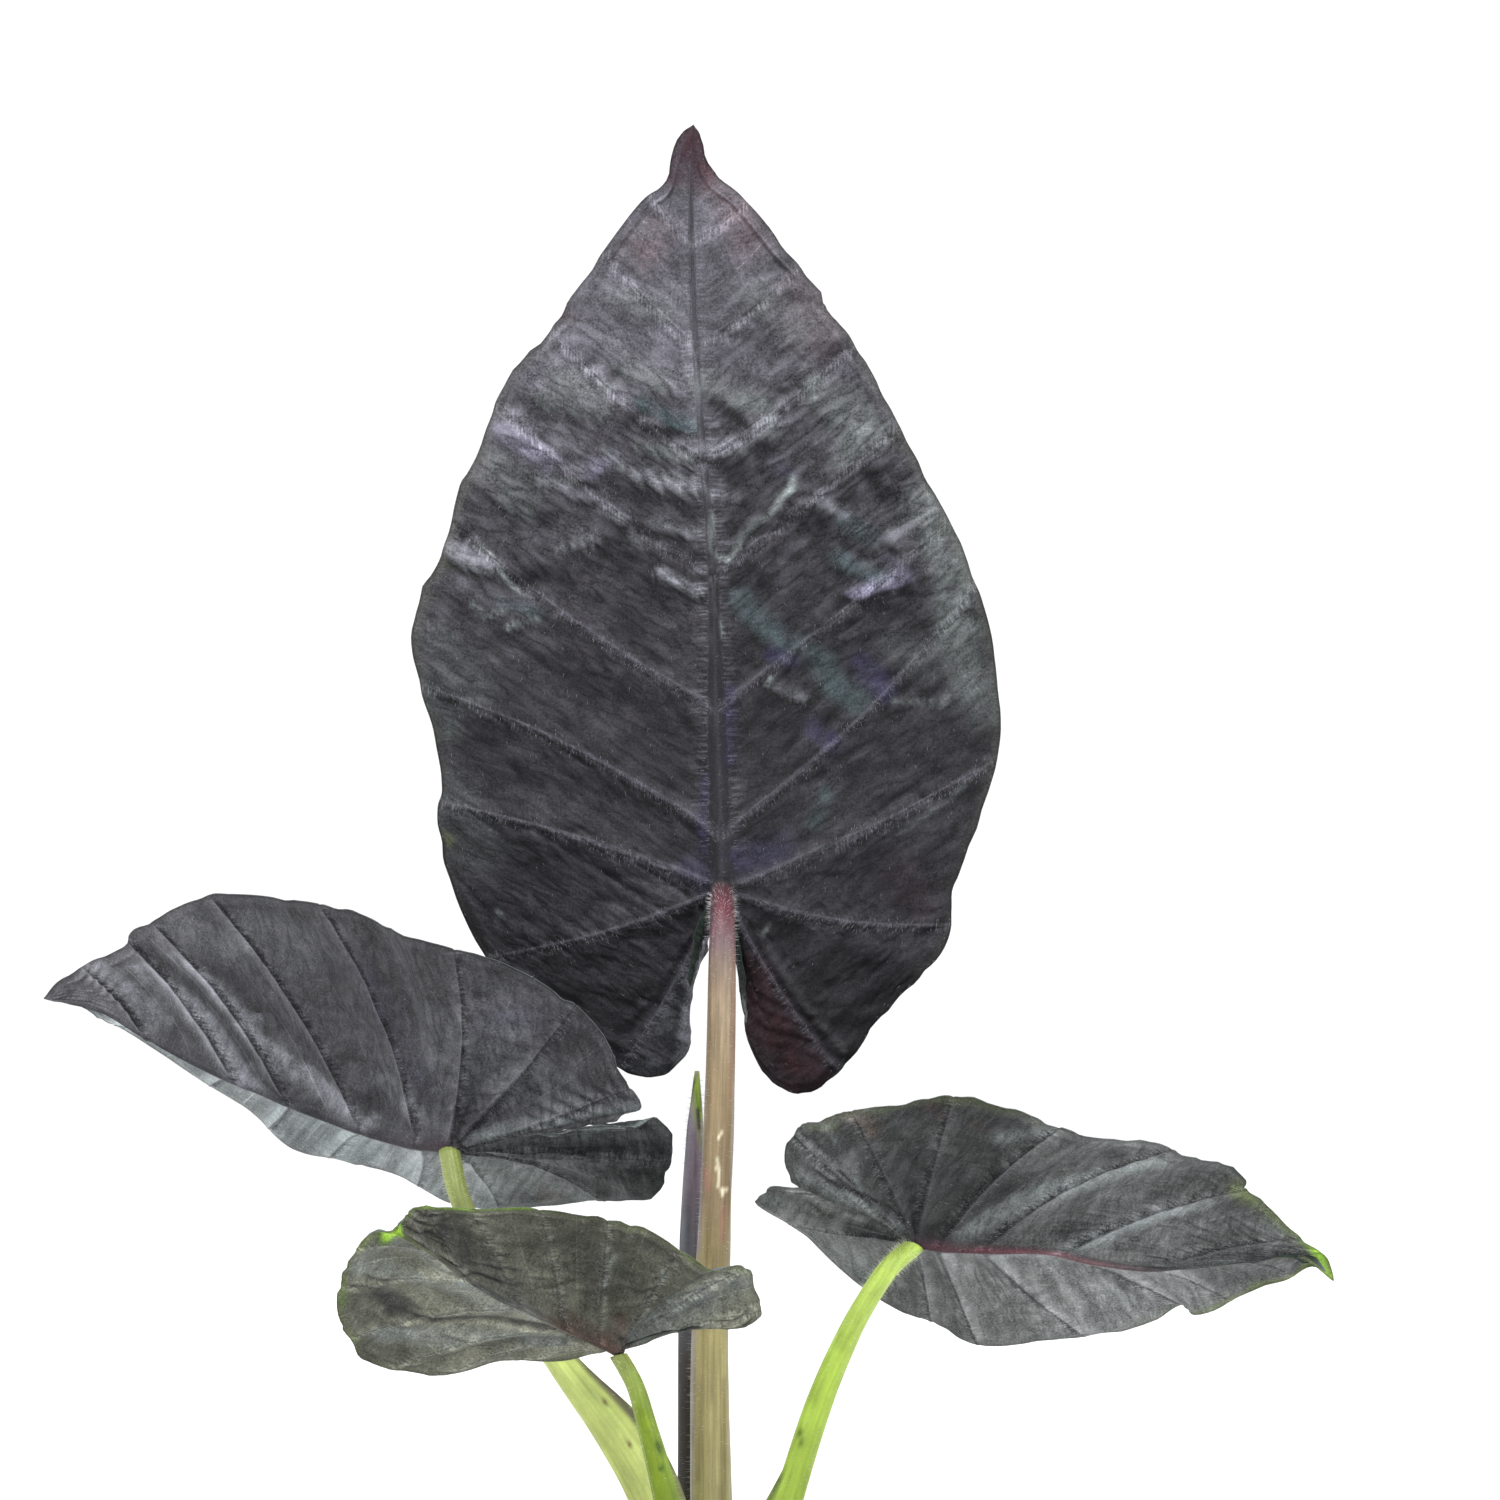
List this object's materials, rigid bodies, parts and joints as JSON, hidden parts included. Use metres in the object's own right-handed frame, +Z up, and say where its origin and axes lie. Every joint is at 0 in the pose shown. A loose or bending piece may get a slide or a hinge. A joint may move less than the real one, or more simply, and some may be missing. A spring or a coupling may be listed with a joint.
{
  "type": "potted antoro velvet alocasia",
  "caption": "Potted aroid house plant with dark velvety arrow-heart leaves on bare stems, standing in a plain tapered nursery pot.",
  "frame": {"origin": "centre of the pot's flat base, on the surface it stands on", "axes": "+Z up along the pot's axis; -Y is the front, the side that shows the undersides of the leaves; +X to the right"},
  "size_m": [0.2778, 0.1307, 0.419],
  "materials": {
    "pot": "matte",
    "potting_mix": "matte",
    "stem_base": "matte",
    "petiole_main": "satin",
    "petiole_left": "satin",
    "petiole_lime": "satin",
    "new_leaf": "satin",
    "blade_dark": "matte",
    "blade_grey": "matte"
  },
  "bodies": {
    "root": {"pot": "pot", "potting_mix": "potting_mix", "stem_base": "stem_base", "petiole_main": "petiole_main", "petiole_left": "petiole_left", "petiole_right": "petiole_lime", "petiole_front": "petiole_lime", "new_leaf": "new_leaf", "blade_main": "blade_dark", "blade_left": "blade_dark", "blade_right": "blade_grey", "blade_front": "blade_grey"}
  },
  "joints": []
}
